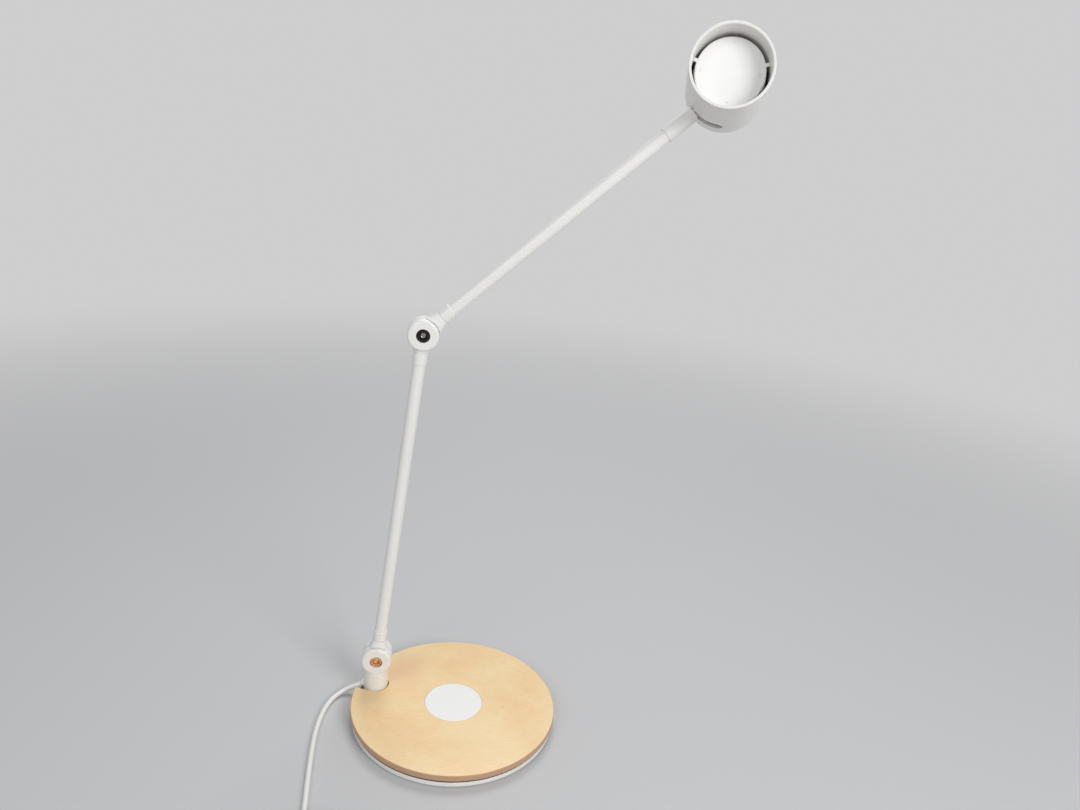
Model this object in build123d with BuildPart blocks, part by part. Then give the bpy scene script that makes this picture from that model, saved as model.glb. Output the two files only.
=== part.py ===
from build123d import *

import math
import os

os.makedirs("parts", exist_ok=True)

# Two-arm desk lamp on a round wooden base with a charging pad.
# Millimetres. Origin at the centre of the base's underside, on the table, +Z up.
# At rest both arms lie in a plane parallel to XZ, which runs through the post.

# Base, from the table up
foot_setback = 5.0
foot_thickness = 1.0
plate_setback = 1.0
plate_thickness = 4.0
ballast_setback = 7.0
ballast_thickness = 1.8
wood_radius = 85.0
wood_thickness = 5.2
edge_round = 0.6

# Charging pad, let into the middle of the wood
pad_radius = 23.9
pad_thickness = 1.5
pad_ledge = 1.5
pad_clearance = 0.1
winding_outer_radius = 20.0
winding_inner_radius = 9.0
winding_thickness = 1.2
ferrite_radius = 21.0
ferrite_thickness = 0.6
board_radius = 20.0
board_thickness = 1.2
chip_height = 1.6
chip_side = 7.0
chip_place = (-8.0, 4.0)
regulator_size = (6.0, 4.0)
regulator_place = (6.0, 6.0)
capacitor_size = (3.2, 5.0)
capacitor_row = (0.0, -8.0)
capacitor_pitch = 6.0
capacitor_count = 3

# Post, standing in a slot that is open at the base's rim
post_inset = 14.9
post_azimuth = 161.2
post_radius = 10.0
post_bore_radius = 6.5
post_floor = 3.5
post_roof = 4.0
post_above_wood = 12.4
slot_clearance = 0.9

# Screws
base_screw_radius = 1.75
base_screw_length = 9.0
base_screw_inset = 25.0
base_screw_count = 4
post_screw_radius = 1.5
post_screw_length = 7.0
post_screw_circle = 4.3
post_screw_count = 3
screw_head_ratio = 2.0
screw_clearance = 0.05
screw_drive_ratio = 0.8
screw_drive_depth = 0.7

# Swivel on the post
swivel_ring_thickness = 2.6
swivel_pin_radius = 5.0
swivel_nut_radius = 6.2
swivel_nut_thickness = 2.4
running_clearance = 0.05

# Half-lap hinges of the shoulder and the elbow
shoulder_rise = 13.0
shoulder_eye_radius = 12.25
shoulder_width = 20.0
elbow_eye_radius = 12.0
elbow_width = 17.0
washer_thickness = 0.8
washer_margin = 0.7
swing_clearance = 0.35
eye_rim_round = 2.2
root_reach_ratio = 0.35
root_depth_ratio = 0.94
root_height_ratio = 1.72
waist_depth_ratio = 0.45
waist_height_ratio = 0.3
waist_round_ratio = 0.7
neck_round_ratio = 0.99
sleeve_radius = 4.0
sleeve_bore_radius = 2.9
mouth_radius = 5.25
nut_radius = 4.95
nut_thickness = 2.2
nut_recess = 1.2
tooth_count = 12
tooth_gap = 1.0
tooth_depth = 0.9

# Arms
lower_length = 285.0
lower_lean = 5.27
upper_length = 277.5
upper_elevation = 43.6
tube_radius = 5.0
tube_bore_radius = 4.0
collar_radius = 5.6
spigot_radius = 3.95
spigot_depth = 12.0
wire_radius = 1.6
shoulder_neck = 17.0
shoulder_collar = 9.0
elbow_lower_neck = 15.0
elbow_lower_collar = 9.0
elbow_upper_neck = 19.0
elbow_upper_collar = 9.0

# Head sleeve, at the far end of the upper arm
head_sleeve_length = 24.0
head_sleeve_radius = 5.6
head_sleeve_gap = 0.8
neck_radius = 3.95
neck_bore_radius = 2.0
neck_bearing_length = 12.0
neck_clip_radius = 4.6
neck_clip_groove = 0.5
neck_clip_thickness = 1.2
neck_clip_room = 2.0

# Lamp can: it crosses the arm's line square, and turns about its own axis on the lamp unit
can_roll = 20.7
can_radius = 28.0
can_wall = 2.0
can_back = 17.0
can_front = 45.0
can_back_wall = 1.6
can_back_round = 2.5
can_mouth_round = 0.5
mouth_depth = 15.7
slot_travel = 38.0
neck_slot_clearance = 0.45

# Lamp unit inside the can
sink_clearance = 1.6
sink_back = 9.0
sink_front = 20.0
sink_fin_count = 3
sink_fin_gap = 1.8
sink_fin_pitch = 3.6
sink_fin_depth = 2.5
sink_rim_wall = 3.9
sink_pocket_inner = 9.5
sink_web = 8.0
neck_socket_depth = 21.0
glide_height = 3.0
glide_clearance = 0.25
led_board_clearance = 2.0
led_board_thickness = 1.6
led_inset = 6.0
led_count = 12
led_side = 2.8
led_height = 0.7
holder_clearance = 2.6
holder_wall = 2.4
holder_tab_angles = (119.2, -28.4)
holder_tab_width = 2.2
diffuser_setback = 0.7
diffuser_thickness = 2.0
diffuser_clearance = 0.05
clip_setback = 3.1
clip_first_angle = 44.0
clip_count = 4
clip_length = 2.4
clip_width = 0.9
clip_depth = 0.6
dimmer_radius = 7.0
dimmer_length = 4.6
dimmer_shaft_radius = 3.0
shaft_boss_radius = 4.8
shaft_boss_height = 1.4

# Supply lead: its route is drawn for the post reach given here, and moves with the post
cord_radius = 2.0
route_post_reach = 70.1
lead_straight = 8.0
lead_places = [
    (-92.4, 23.7, 4.1),
    (-98.8, 18.9, 2.2),
    (-104.1, 10.2, 2.0),
    (-108.0, -5.3, 2.0),
    (-109.9, -27.0, 2.0),
    (-109.1, -52.0, 2.0),
    (-107.4, -80.0, 2.0),
    (-105.2, -106.0, 2.0),
]
coil_run_in = 25.0
grommet_radius = 2.4
grommet_flange_radius = 2.9
grommet_flange_reach = 1.6
grommet_height = 16.9
grommet_azimuth = 173.0
grommet_tilt = 27.0

# Put-away coil: four layers, spiralling in and out in turn
coil_inner_radius = 15.0
coil_turns_across = 3
coil_layers = 4
coil_extra_turn = 0.25
coil_pitch = 4.5
coil_lift = 1.2
coil_place = (-75.5, -160.0)
tie_width = 9.0
tie_thickness = 0.9
tie_clearance = 0.3
tie_azimuths = (35.0, 215.0)

# Plug-in supply at the lead's end
adapter_length = 44.0
adapter_width = 31.0
adapter_height = 38.0
adapter_round = 4.0
relief_length = 30.0
relief_radius = 4.2
pin_length = 16.0
pin_height = 6.3
pin_thickness = 1.5
pin_spacing = 12.7

# Sizes, heights and places that follow from the sizes above
foot_radius = wood_radius - foot_setback
plate_radius = wood_radius - plate_setback
ballast_radius = wood_radius - ballast_setback
base_screw_circle = wood_radius - base_screw_inset
post_reach = wood_radius - post_inset
plate_top = foot_thickness + plate_thickness
wood_bottom = plate_top + ballast_thickness
wood_top_height = wood_bottom + wood_thickness
pad_bottom = wood_top_height - pad_thickness
pad_hole_radius = pad_radius + pad_clearance
winding_well_radius = pad_hole_radius - pad_ledge
post_top = wood_top_height + post_above_wood
yoke_bottom = post_top + swivel_ring_thickness
slot_half_width = post_radius + slot_clearance

post_outward = Vector(1, 0, 0).rotate(Axis.Z, post_azimuth)
post_foot = post_outward * post_reach + Vector(0, 0, plate_top)
shoulder = Vector(post_foot.X, post_foot.Y, yoke_bottom + shoulder_rise)
lower_direction = Vector(math.sin(math.radians(lower_lean)), 0, math.cos(math.radians(lower_lean)))
elbow = shoulder + lower_direction * lower_length
upper_direction = Vector(
    math.cos(math.radians(upper_elevation)), 0, math.sin(math.radians(upper_elevation))
)
head_centre = elbow + upper_direction * upper_length
can_direction = Vector(0, -1, 0).rotate(Axis((0, 0, 0), upper_direction), -can_roll)
head_plane = Plane(origin=head_centre, x_dir=upper_direction, z_dir=can_direction)
can_inner_radius = can_radius - can_wall
sink_radius = can_inner_radius - sink_clearance
sink_pocket_outer = sink_radius - sink_rim_wall
holder_radius = can_inner_radius - holder_clearance
diffuser_radius = holder_radius - diffuser_setback
led_board_radius = holder_radius - holder_wall - led_board_clearance
led_circle = led_board_radius - led_inset
clip_circle = diffuser_radius - clip_setback
diffuser_front = can_front - mouth_depth
slot_plane = Plane(origin=post_foot, x_dir=post_outward, z_dir=(0, 0, 1))
lead_direction = Vector(1, 0, 0).rotate(Axis.Y, grommet_tilt).rotate(Axis.Z, grommet_azimuth)
grommet_plane = Plane(
    origin=(post_foot.X, post_foot.Y, grommet_height), x_dir=(0, 0, 1), z_dir=lead_direction
)
grommet_start = post_bore_radius / math.cos(math.radians(grommet_tilt))
grommet_end = (post_radius + grommet_flange_reach) / math.cos(math.radians(grommet_tilt))


def side_plane(point):
    """Upright plane through a point, seen from the lamp's front."""
    return Plane(origin=point, x_dir=(1, 0, 0), z_dir=(0, -1, 0))


def cross_plane(point, direction, distance):
    """Plane across a direction, at a distance from a point."""
    return Plane(origin=point + direction * distance, x_dir=(0, -1, 0), z_dir=direction)


def round_edges(piece, least_radius):
    """Circular edges of a piece that are wider than a radius."""
    circles = piece.edges().filter_by(GeomType.CIRCLE)
    return circles.filter_by(lambda edge: edge.radius > least_radius)


def rim_slot(bottom, height):
    """Straight slot with a round end that holds the post and runs out through the rim."""
    with BuildPart() as slot:
        with BuildSketch(slot_plane.offset(bottom - plate_top)):
            Circle(slot_half_width)
            with Locations((wood_radius / 2, 0)):
                Rectangle(wood_radius, 2 * slot_half_width)
        extrude(amount=height)
    return slot.part


def countersunk_screw(point, radius, length):
    """Flat-headed screw that stands head down at a point, with its driver recess."""
    head = radius * (screw_head_ratio - 1)
    with BuildPart() as screw:
        with BuildSketch(Plane(origin=point)):
            Circle(radius * screw_head_ratio)
        extrude(amount=head, taper=45)
        with BuildSketch(Plane(origin=point)):
            Circle(radius)
        extrude(amount=length)
        with BuildSketch(Plane(origin=point)):
            RegularPolygon(radius=radius * screw_drive_ratio, side_count=6)
        extrude(amount=head * screw_drive_depth, mode=Mode.SUBTRACT)
    return screw.part


def hinge_half(pivot, direction, front, eye_radius, width, reach, neck, spigot, wire):
    """One casting of a half-lap hinge: a bored eye of half the width, a neck and a spigot.

    front is 1 for the half nearer the viewer and -1 for the half behind it. reach is the
    neck's length from the pivot and neck its radius there, spigot is a radius and a length,
    wire is the lead's way.
    """
    middle = side_plane(pivot)
    inner = front * washer_thickness / 2
    outer = front * width / 2
    root = eye_radius * root_reach_ratio
    root_depth = width * root_depth_ratio
    root_height = eye_radius * root_height_ratio
    waist = (root + reach) / 2
    with BuildPart() as casting:
        with BuildSketch(middle.offset(inner)):
            Circle(eye_radius)
        extrude(amount=outer - inner)
        rims = casting.edges().filter_by(GeomType.CIRCLE).sort_by(Axis.Y)
        fillet(rims[0] if front > 0 else rims[-1], radius=eye_rim_round)
        with BuildSketch(cross_plane(pivot, direction, root)):
            RectangleRounded(root_depth, root_height, eye_rim_round)
        with BuildSketch(cross_plane(pivot, direction, waist)):
            RectangleRounded(
                2 * neck + waist_depth_ratio * (root_depth - 2 * neck),
                2 * neck + waist_height_ratio * (root_height - 2 * neck),
                waist_round_ratio * neck,
            )
        with BuildSketch(cross_plane(pivot, direction, reach)):
            RectangleRounded(2 * neck, 2 * neck, neck_round_ratio * neck)
        loft()
        with BuildSketch(middle.offset(inner)):
            Circle(eye_radius + swing_clearance)
        extrude(amount=-front * width, mode=Mode.SUBTRACT)
        with BuildSketch(cross_plane(pivot, direction, reach)):
            Circle(spigot[0])
        extrude(amount=spigot[1])
        with BuildSketch(cross_plane(pivot, direction, 0)):
            Circle(wire)
        extrude(amount=reach + spigot[1], mode=Mode.SUBTRACT)
        with BuildSketch(middle):
            Circle(sleeve_radius + running_clearance)
        extrude(amount=width, both=True, mode=Mode.SUBTRACT)
        with BuildSketch(middle.offset(outer)):
            Circle(mouth_radius)
        extrude(amount=-front * (nut_recess + nut_thickness), mode=Mode.SUBTRACT)
    return casting.part


def toothed_end(plane, front):
    """Cutter for the notches round the face of a hinge sleeve or its nut."""
    with BuildPart() as notches:
        with BuildSketch(plane):
            with PolarLocations(nut_radius, tooth_count):
                Rectangle(2 * (nut_radius - sleeve_radius), tooth_gap)
        extrude(amount=-front * tooth_depth)
    return notches.part


def hinge_sleeve(pivot, front, width):
    """Hollow pivot with a toothed flange that sits in the mouth of one eye."""
    face = side_plane(pivot).offset(front * (width / 2 - nut_recess))
    with BuildPart() as sleeve:
        with BuildSketch(face):
            Circle(nut_radius)
        extrude(amount=-front * nut_thickness)
        with BuildSketch(face):
            Circle(sleeve_radius)
        extrude(amount=-front * (width - 2 * nut_recess))
        add(toothed_end(face, front), mode=Mode.SUBTRACT)
        with BuildSketch(face):
            Circle(sleeve_bore_radius)
        extrude(amount=-front * width, mode=Mode.SUBTRACT)
    return sleeve.part


def hinge_nut(pivot, front, width):
    """Toothed ring nut that draws the sleeve tight from the other eye."""
    face = side_plane(pivot).offset(front * (width / 2 - nut_recess))
    with BuildPart() as nut:
        with BuildSketch(face):
            Circle(nut_radius)
            Circle(sleeve_radius + screw_clearance, mode=Mode.SUBTRACT)
        extrude(amount=-front * nut_thickness)
        add(toothed_end(face, front), mode=Mode.SUBTRACT)
    return nut.part


def hinge_washer(pivot, eye_radius):
    """Friction washer between the two eyes."""
    with BuildPart() as washer:
        with BuildSketch(side_plane(pivot)):
            Circle(eye_radius - washer_margin)
            Circle(sleeve_radius + 2 * running_clearance, mode=Mode.SUBTRACT)
        extrude(amount=washer_thickness / 2, both=True)
    return washer.part


def collar(pivot, direction, start, length):
    """Ring that covers the joint between a casting and its tube."""
    with BuildPart() as ring:
        with BuildSketch(cross_plane(pivot, direction, start)):
            Circle(collar_radius)
            Circle(tube_bore_radius, mode=Mode.SUBTRACT)
        extrude(amount=length)
        fillet(round_edges(ring, tube_radius), radius=collar_radius - tube_radius)
    return ring.part


def arm_tube(pivot, direction, start, end):
    """Thin round tube from one collar to the next."""
    with BuildPart() as tube:
        with BuildSketch(cross_plane(pivot, direction, start)):
            Circle(tube_radius)
            Circle(tube_bore_radius, mode=Mode.SUBTRACT)
        extrude(amount=end - start)
    return tube.part


# Foot: a thin pad that hides the screws
with BuildPart() as foot_pad:
    with BuildSketch():
        Circle(foot_radius)
    extrude(amount=foot_thickness)
foot_pad.part.label = "foot_pad"

# Screw places, clear of the post's slot
base_screw_angle = post_azimuth + 180 / base_screw_count
with BuildPart() as base_screws:
    for place in PolarLocations(base_screw_circle, base_screw_count, start_angle=base_screw_angle):
        add(
            countersunk_screw(
                place.position + Vector(0, 0, foot_thickness), base_screw_radius, base_screw_length
            )
        )
base_screws.part.label = "base_screws"

with BuildPart() as post_screws:
    for place in PolarLocations(post_screw_circle, post_screw_count):
        centre = Vector(post_foot.X, post_foot.Y, foot_thickness) + place.position
        add(countersunk_screw(centre, post_screw_radius, post_screw_length))
post_screws.part.label = "post_screws"

# Steel plate with countersunk holes from below
with BuildPart() as base_plate:
    with BuildSketch(Plane.XY.offset(foot_thickness)):
        Circle(plate_radius)
    extrude(amount=plate_thickness)
    fillet(base_plate.edges().filter_by(GeomType.CIRCLE), radius=edge_round)
    for place in PolarLocations(base_screw_circle, base_screw_count, start_angle=base_screw_angle):
        centre = place.position + Vector(0, 0, foot_thickness)
        with Locations(Plane(origin=centre, x_dir=(1, 0, 0), z_dir=(0, 0, -1))):
            CounterSinkHole(
                radius=base_screw_radius + screw_clearance,
                counter_sink_radius=base_screw_radius * screw_head_ratio + screw_clearance,
                counter_sink_angle=90,
            )
    for place in PolarLocations(post_screw_circle, post_screw_count):
        centre = Vector(post_foot.X, post_foot.Y, foot_thickness) + place.position
        with Locations(Plane(origin=centre, x_dir=(1, 0, 0), z_dir=(0, 0, -1))):
            CounterSinkHole(
                radius=post_screw_radius + screw_clearance,
                counter_sink_radius=post_screw_radius * screw_head_ratio + screw_clearance,
                counter_sink_angle=90,
            )
base_plate.part.label = "base_plate"

# Ballast disc: it weighs the foot down and leaves the shadow gap under the wood
with BuildPart() as ballast_disc:
    with BuildSketch(Plane.XY.offset(plate_top)):
        Circle(ballast_radius)
        Circle(winding_well_radius, mode=Mode.SUBTRACT)
        with PolarLocations(base_screw_circle, base_screw_count, start_angle=base_screw_angle):
            Circle(base_screw_radius + screw_clearance, mode=Mode.SUBTRACT)
    extrude(amount=ballast_thickness)
    add(rim_slot(plate_top, ballast_thickness), mode=Mode.SUBTRACT)
ballast_disc.part.label = "ballast_disc"

# Wooden top with its slot, the pad's seat and blind screw holes
with BuildPart() as wood_top:
    with BuildSketch(Plane.XY.offset(wood_bottom)):
        Circle(wood_radius)
        Circle(winding_well_radius, mode=Mode.SUBTRACT)
    extrude(amount=wood_thickness)
    fillet(round_edges(wood_top, pad_radius), radius=edge_round)
    with BuildSketch(Plane.XY.offset(pad_bottom)):
        Circle(pad_hole_radius)
    extrude(amount=pad_thickness, mode=Mode.SUBTRACT)
    add(rim_slot(wood_bottom, wood_thickness), mode=Mode.SUBTRACT)
    with BuildSketch(Plane.XY.offset(wood_bottom)):
        with PolarLocations(base_screw_circle, base_screw_count, start_angle=base_screw_angle):
            Circle(base_screw_radius + screw_clearance)
    extrude(
        amount=foot_thickness + base_screw_length + screw_clearance - wood_bottom,
        mode=Mode.SUBTRACT,
    )
wood_top.part.label = "wood_top"

# Charging pad and what lies under it
with BuildPart() as pad_cover:
    with BuildSketch(Plane.XY.offset(pad_bottom)):
        Circle(pad_radius)
    extrude(amount=pad_thickness)
    fillet(pad_cover.edges().sort_by(Axis.Z)[-1], radius=edge_round / 2)
pad_cover.part.label = "pad_cover"

with BuildPart() as charging_coil:
    with BuildSketch(Plane.XY.offset(pad_bottom - winding_thickness)):
        Circle(winding_outer_radius)
        Circle(winding_inner_radius, mode=Mode.SUBTRACT)
    extrude(amount=winding_thickness)
charging_coil.part.label = "charging_coil"

ferrite_bottom = pad_bottom - winding_thickness - ferrite_thickness
with BuildPart() as ferrite_plate:
    with BuildSketch(Plane.XY.offset(ferrite_bottom)):
        Circle(ferrite_radius)
    extrude(amount=ferrite_thickness)
ferrite_plate.part.label = "ferrite_plate"

with BuildPart() as charger_board:
    with BuildSketch(Plane.XY.offset(plate_top)):
        Circle(board_radius)
    extrude(amount=board_thickness)
    with BuildSketch(Plane.XY.offset(plate_top + board_thickness)):
        with Locations(chip_place):
            Rectangle(chip_side, chip_side)
        with Locations(regulator_place):
            Rectangle(*regulator_size)
        with Locations(capacitor_row):
            with GridLocations(capacitor_pitch, 0, capacitor_count, 1):
                Rectangle(*capacitor_size)
    extrude(amount=chip_height)
charger_board.part.label = "charger_board"

# Post: hollow, screwed down through its floor, with the lead's hole at the back
with BuildPart() as post:
    with BuildSketch(Plane(origin=post_foot)):
        Circle(post_radius)
    extrude(amount=post_top - plate_top)
    with BuildSketch(Plane(origin=post_foot).offset(post_floor)):
        Circle(post_bore_radius)
    extrude(amount=post_top - plate_top - post_floor - post_roof, mode=Mode.SUBTRACT)
    with BuildSketch(Plane(origin=post_foot).offset(post_top - plate_top - post_roof)):
        Circle(swivel_pin_radius + running_clearance)
    extrude(amount=post_roof, mode=Mode.SUBTRACT)
    with BuildSketch(Plane(origin=post_foot)):
        with PolarLocations(post_screw_circle, post_screw_count):
            Circle(post_screw_radius + screw_clearance)
    extrude(amount=post_floor, mode=Mode.SUBTRACT)
    with BuildSketch(grommet_plane):
        Circle(grommet_radius + screw_clearance)
    extrude(amount=2 * post_radius, mode=Mode.SUBTRACT)
post.part.label = "post"

# Grommet: its flange follows the post's round wall
with BuildPart() as cord_grommet:
    with BuildSketch(grommet_plane.offset(grommet_start)):
        Circle(grommet_flange_radius)
    extrude(amount=grommet_end - grommet_start)
    fillet(cord_grommet.edges().sort_by(Axis(post_foot, lead_direction))[-1], radius=edge_round)
    with BuildSketch(Plane(origin=post_foot)):
        Circle(post_radius)
    extrude(amount=post_top - plate_top, mode=Mode.SUBTRACT)
    with BuildSketch(grommet_plane.offset(grommet_start)):
        Circle(grommet_radius)
    extrude(amount=grommet_end - grommet_start - edge_round)
cord_grommet.part.label = "cord_grommet"

# Swivel: the yoke's hollow pin turns in the post's roof and is held by a nut
with BuildPart() as swivel_ring:
    with BuildSketch(Plane(origin=(post_foot.X, post_foot.Y, post_top))):
        Circle(post_radius)
        Circle(swivel_pin_radius + running_clearance, mode=Mode.SUBTRACT)
    extrude(amount=swivel_ring_thickness)
    fillet(round_edges(swivel_ring, swivel_nut_radius), radius=edge_round / 2)
swivel_ring.part.label = "swivel_ring"

swivel_pin_length = swivel_ring_thickness + post_roof + swivel_nut_thickness
with BuildPart() as yoke:
    add(
        hinge_half(
            shoulder,
            Vector(0, 0, -1),
            1,
            shoulder_eye_radius,
            shoulder_width,
            shoulder_rise,
            post_radius,
            (swivel_pin_radius, swivel_pin_length),
            neck_bore_radius,
        )
    )
yoke.part.label = "yoke"

with BuildPart() as swivel_nut:
    nut_bottom = post_top - post_roof - swivel_nut_thickness
    with BuildSketch(Plane(origin=(post_foot.X, post_foot.Y, nut_bottom))):
        Circle(swivel_nut_radius)
        Circle(swivel_pin_radius + screw_clearance, mode=Mode.SUBTRACT)
    extrude(amount=swivel_nut_thickness)
swivel_nut.part.label = "swivel_nut"

# Shoulder hinge
with BuildPart() as shoulder_sleeve:
    add(hinge_sleeve(shoulder, 1, shoulder_width))
shoulder_sleeve.part.label = "shoulder_sleeve"

with BuildPart() as shoulder_nut:
    add(hinge_nut(shoulder, -1, shoulder_width))
shoulder_nut.part.label = "shoulder_nut"

with BuildPart() as shoulder_washer:
    add(hinge_washer(shoulder, shoulder_eye_radius))
shoulder_washer.part.label = "shoulder_washer"

# Lower arm: foot casting, tube, head casting and two collars
with BuildPart() as lower_arm_foot:
    add(
        hinge_half(
            shoulder,
            lower_direction,
            -1,
            shoulder_eye_radius,
            shoulder_width,
            shoulder_neck,
            collar_radius,
            (spigot_radius, shoulder_collar + spigot_depth),
            wire_radius,
        )
    )
lower_arm_foot.part.label = "lower_arm_foot"

with BuildPart() as lower_arm_head:
    add(
        hinge_half(
            elbow,
            -lower_direction,
            1,
            elbow_eye_radius,
            elbow_width,
            elbow_lower_neck,
            collar_radius,
            (spigot_radius, elbow_lower_collar + spigot_depth),
            wire_radius,
        )
    )
lower_arm_head.part.label = "lower_arm_head"

with BuildPart() as lower_collars:
    add(collar(shoulder, lower_direction, shoulder_neck, shoulder_collar))
    add(collar(elbow, -lower_direction, elbow_lower_neck, elbow_lower_collar))
lower_collars.part.label = "lower_collars"

with BuildPart() as lower_tube:
    tube_start = shoulder_neck + shoulder_collar
    tube_end = lower_length - elbow_lower_neck - elbow_lower_collar
    add(arm_tube(shoulder, lower_direction, tube_start, tube_end))
lower_tube.part.label = "lower_tube"

# Elbow hinge
with BuildPart() as elbow_sleeve:
    add(hinge_sleeve(elbow, 1, elbow_width))
elbow_sleeve.part.label = "elbow_sleeve"

with BuildPart() as elbow_nut:
    add(hinge_nut(elbow, -1, elbow_width))
elbow_nut.part.label = "elbow_nut"

with BuildPart() as elbow_washer:
    add(hinge_washer(elbow, elbow_eye_radius))
elbow_washer.part.label = "elbow_washer"

# Upper arm: foot casting, collar, tube and the sleeve that holds the head's neck
with BuildPart() as upper_arm_foot:
    add(
        hinge_half(
            elbow,
            upper_direction,
            -1,
            elbow_eye_radius,
            elbow_width,
            elbow_upper_neck,
            collar_radius,
            (spigot_radius, elbow_upper_collar + spigot_depth),
            wire_radius,
        )
    )
upper_arm_foot.part.label = "upper_arm_foot"

with BuildPart() as upper_collar:
    add(collar(elbow, upper_direction, elbow_upper_neck, elbow_upper_collar))
upper_collar.part.label = "upper_collar"

head_sleeve_end = upper_length - can_radius - head_sleeve_gap
head_sleeve_start = head_sleeve_end - head_sleeve_length
neck_clip_start = head_sleeve_end - neck_bearing_length - neck_clip_room
with BuildPart() as upper_tube:
    tube_start = elbow_upper_neck + elbow_upper_collar
    add(arm_tube(elbow, upper_direction, tube_start, neck_clip_start))
upper_tube.part.label = "upper_tube"

with BuildPart() as head_sleeve:
    with BuildSketch(cross_plane(elbow, upper_direction, head_sleeve_start)):
        Circle(head_sleeve_radius)
    extrude(amount=head_sleeve_length)
    fillet(head_sleeve.edges().filter_by(GeomType.CIRCLE), radius=edge_round / 2)
    with BuildSketch(cross_plane(elbow, upper_direction, head_sleeve_start)):
        Circle(tube_radius)
    extrude(amount=head_sleeve_length - neck_bearing_length, mode=Mode.SUBTRACT)
    with BuildSketch(cross_plane(elbow, upper_direction, head_sleeve_start)):
        Circle(neck_radius + running_clearance)
    extrude(amount=head_sleeve_length, mode=Mode.SUBTRACT)
head_sleeve.part.label = "head_sleeve"

# Neck: a hollow pin from the sleeve, through the can's slot, into the lamp unit
neck_inner_end = upper_length - sink_radius + neck_socket_depth
neck_length = neck_inner_end - neck_clip_start
with BuildPart() as neck_pin:
    with BuildSketch(cross_plane(elbow, upper_direction, neck_clip_start)):
        Circle(neck_radius)
        Circle(neck_bore_radius, mode=Mode.SUBTRACT)
    extrude(amount=neck_length)
    groove_start = neck_clip_start + neck_clip_room - neck_clip_thickness
    with BuildSketch(cross_plane(elbow, upper_direction, groove_start)):
        Circle(neck_radius)
        Circle(neck_radius - neck_clip_groove, mode=Mode.SUBTRACT)
    extrude(amount=neck_clip_thickness, mode=Mode.SUBTRACT)
neck_pin.part.label = "neck_pin"

with BuildPart() as neck_clip:
    with BuildSketch(cross_plane(elbow, upper_direction, groove_start)):
        Circle(neck_clip_radius)
        Circle(neck_radius - neck_clip_groove, mode=Mode.SUBTRACT)
        with Locations((neck_radius, 0)):
            Rectangle(2 * neck_clip_groove + 1, neck_radius, mode=Mode.SUBTRACT)
    extrude(amount=neck_clip_thickness)
neck_clip.part.label = "neck_clip"

# Lamp unit: finned heat sink, light board, ring holder and diffuser
with BuildPart() as heat_sink:
    with BuildSketch(head_plane.offset(-sink_back)):
        Circle(sink_radius)
    extrude(amount=sink_back + sink_front)
    for fin in range(sink_fin_count):
        fin_height = sink_front - (fin + 1) * sink_fin_pitch
        with BuildSketch(head_plane.offset(fin_height)):
            Circle(sink_radius)
            Circle(sink_radius - sink_fin_depth, mode=Mode.SUBTRACT)
        extrude(amount=sink_fin_gap, mode=Mode.SUBTRACT)
    with BuildSketch(head_plane.offset(-sink_back)):
        Circle(sink_pocket_outer)
        Circle(sink_pocket_inner, mode=Mode.SUBTRACT)
    extrude(amount=sink_back + sink_front - sink_web, mode=Mode.SUBTRACT)
    with BuildSketch(cross_plane(elbow, upper_direction, upper_length - can_radius)):
        Circle(neck_radius + screw_clearance)
    extrude(amount=can_radius - sink_radius + neck_socket_depth, mode=Mode.SUBTRACT)
heat_sink.part.label = "heat_sink"

with BuildPart() as glide_ring:
    with BuildSketch(head_plane.offset(-sink_back)):
        Circle(can_inner_radius - glide_clearance)
        Circle(sink_radius, mode=Mode.SUBTRACT)
    extrude(amount=glide_height)
glide_ring.part.label = "glide_ring"

with BuildPart() as led_board:
    with BuildSketch(head_plane.offset(sink_front)):
        Circle(led_board_radius)
    extrude(amount=led_board_thickness)
led_board.part.label = "led_board"

with BuildPart() as led_chips:
    with BuildSketch(head_plane.offset(sink_front + led_board_thickness)):
        with PolarLocations(led_circle, led_count):
            Rectangle(led_side, led_side)
    extrude(amount=led_height)
led_chips.part.label = "led_chips"

with BuildPart() as diffuser_holder:
    with BuildSketch(head_plane.offset(sink_front)):
        Circle(holder_radius)
        Circle(holder_radius - holder_wall, mode=Mode.SUBTRACT)
    extrude(amount=diffuser_front - sink_front)
    tab_middle = (holder_radius + can_inner_radius - glide_clearance) / 2
    tab_length = can_inner_radius - glide_clearance - holder_radius + holder_wall / 2
    with BuildSketch(head_plane.offset(diffuser_front - diffuser_thickness)):
        for angle in holder_tab_angles:
            with PolarLocations(tab_middle - holder_wall / 4, 1, start_angle=angle):
                Rectangle(tab_length, holder_tab_width)
    extrude(amount=diffuser_thickness)
    with BuildSketch(head_plane.offset(diffuser_front - diffuser_thickness)):
        Circle(diffuser_radius + diffuser_clearance)
    extrude(amount=diffuser_thickness, mode=Mode.SUBTRACT)
diffuser_holder.part.label = "diffuser_holder"

with BuildPart() as diffuser:
    with BuildSketch(head_plane.offset(diffuser_front - diffuser_thickness)):
        Circle(diffuser_radius)
    extrude(amount=diffuser_thickness)
    with BuildSketch(head_plane.offset(diffuser_front - clip_depth)):
        with PolarLocations(clip_circle, clip_count, start_angle=clip_first_angle):
            Rectangle(clip_width, clip_length)
    extrude(amount=clip_depth, mode=Mode.SUBTRACT)
diffuser.part.label = "diffuser"

# Twist dimmer between the lamp unit and the can
with BuildPart() as dimmer:
    with BuildSketch(head_plane.offset(-sink_back - dimmer_length)):
        Circle(dimmer_radius)
        Circle(dimmer_shaft_radius + running_clearance, mode=Mode.SUBTRACT)
    extrude(amount=dimmer_length)
dimmer.part.label = "dimmer"

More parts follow.
